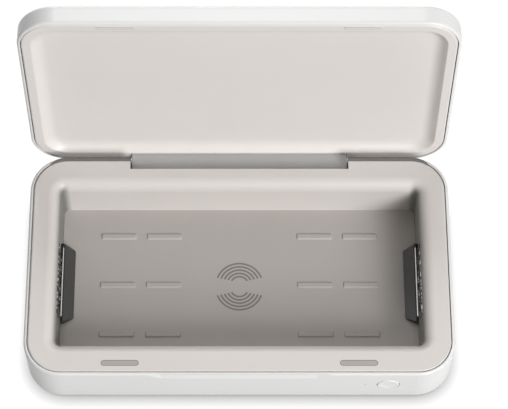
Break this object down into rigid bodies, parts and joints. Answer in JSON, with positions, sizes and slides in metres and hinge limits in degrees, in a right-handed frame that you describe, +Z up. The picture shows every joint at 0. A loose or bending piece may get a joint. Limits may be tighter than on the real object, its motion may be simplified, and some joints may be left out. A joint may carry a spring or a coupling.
{
  "type": "phone sanitizer box",
  "caption": "Hinged box that cleans a phone with a lamp behind each end wall and charges it on its floor, with a power button in front.",
  "frame": {"origin": "on the resting plane, under the middle of the base", "axes": "+X along the box towards the button end, +Y towards the hinge at the back, +Z up"},
  "size_m": [0.228, 0.157, 0.1493],
  "materials": {
    "white_shell": "satin moulded ABS",
    "warm_liner": "satin moulded ABS",
    "floor_grey": "fine matt polycarbonate",
    "hinge_grey": "satin moulded acetal",
    "pad_grey": "matt",
    "foot_rubber": "matt silicone rubber",
    "tray_black": "gloss",
    "quartz": "clear",
    "polished_rod": "polished",
    "reflector_sheet": "bright dimpled",
    "housing_grey": "matt",
    "steel": "zinc plated",
    "magnet_nickel": "nickel plated",
    "ferrite": "matt sintered",
    "copper_coil": "enamelled wire",
    "board_green": "solder mask",
    "component_black": "matt",
    "light_pipe": "clear",
    "led_white": "moulded"
  },
  "bodies": {
    "base": {"base_shell": "white_shell", "foot_ring": "foot_rubber", "base_screws": "steel", "ferrite_sheet": "ferrite", "charging_coil": "copper_coil", "charging_floor": "floor_grey", "base_liner": "warm_liner", "rim_pads": "pad_grey", "rim_magnets": "magnet_nickel", "lamp_tray_left": "tray_black", "lamp_guard_left": "polished_rod", "lamp_tube_left": "quartz", "lamp_reflector_left": "reflector_sheet", "lamp_sockets_left": "component_black", "lamp_housing_left": "housing_grey", "lamp_tray_right": "tray_black", "lamp_guard_right": "polished_rod", "lamp_tube_right": "quartz", "lamp_reflector_right": "reflector_sheet", "lamp_sockets_right": "component_black", "lamp_housing_right": "housing_grey", "main_board": "board_green", "power_switch": "component_black", "status_led": "led_white", "status_light_pipe": "light_pipe", "lid_sensor": "component_black", "inlet_board": "board_green", "usb_c_socket": "steel", "lamp_driver_board": "board_green", "hinge_pins": "steel"},
    "button": {"power_button": "white_shell", "switch_plunger": "component_black"},
    "lid": {"lid_shell": "white_shell", "lid_liner": "warm_liner", "lid_bumpers": "pad_grey", "lid_magnets": "magnet_nickel", "sensor_magnet": "magnet_nickel", "hinge_block": "hinge_grey", "hinge_screws": "steel"}
  },
  "joints": [
    {"name": "lid_hinge", "type": "hinge", "parent": "base", "child": "lid", "pos_m": [0, 0.0605, 0.0263], "axis": [1, 0, 0], "range_deg": [0, 95.5]},
    {"name": "power_button_press", "type": "slide", "parent": "base", "child": "button", "axis": [0, 1, 0], "range_m": [0, 0.0006], "stiffness_N_per_m": 1500}
  ]
}
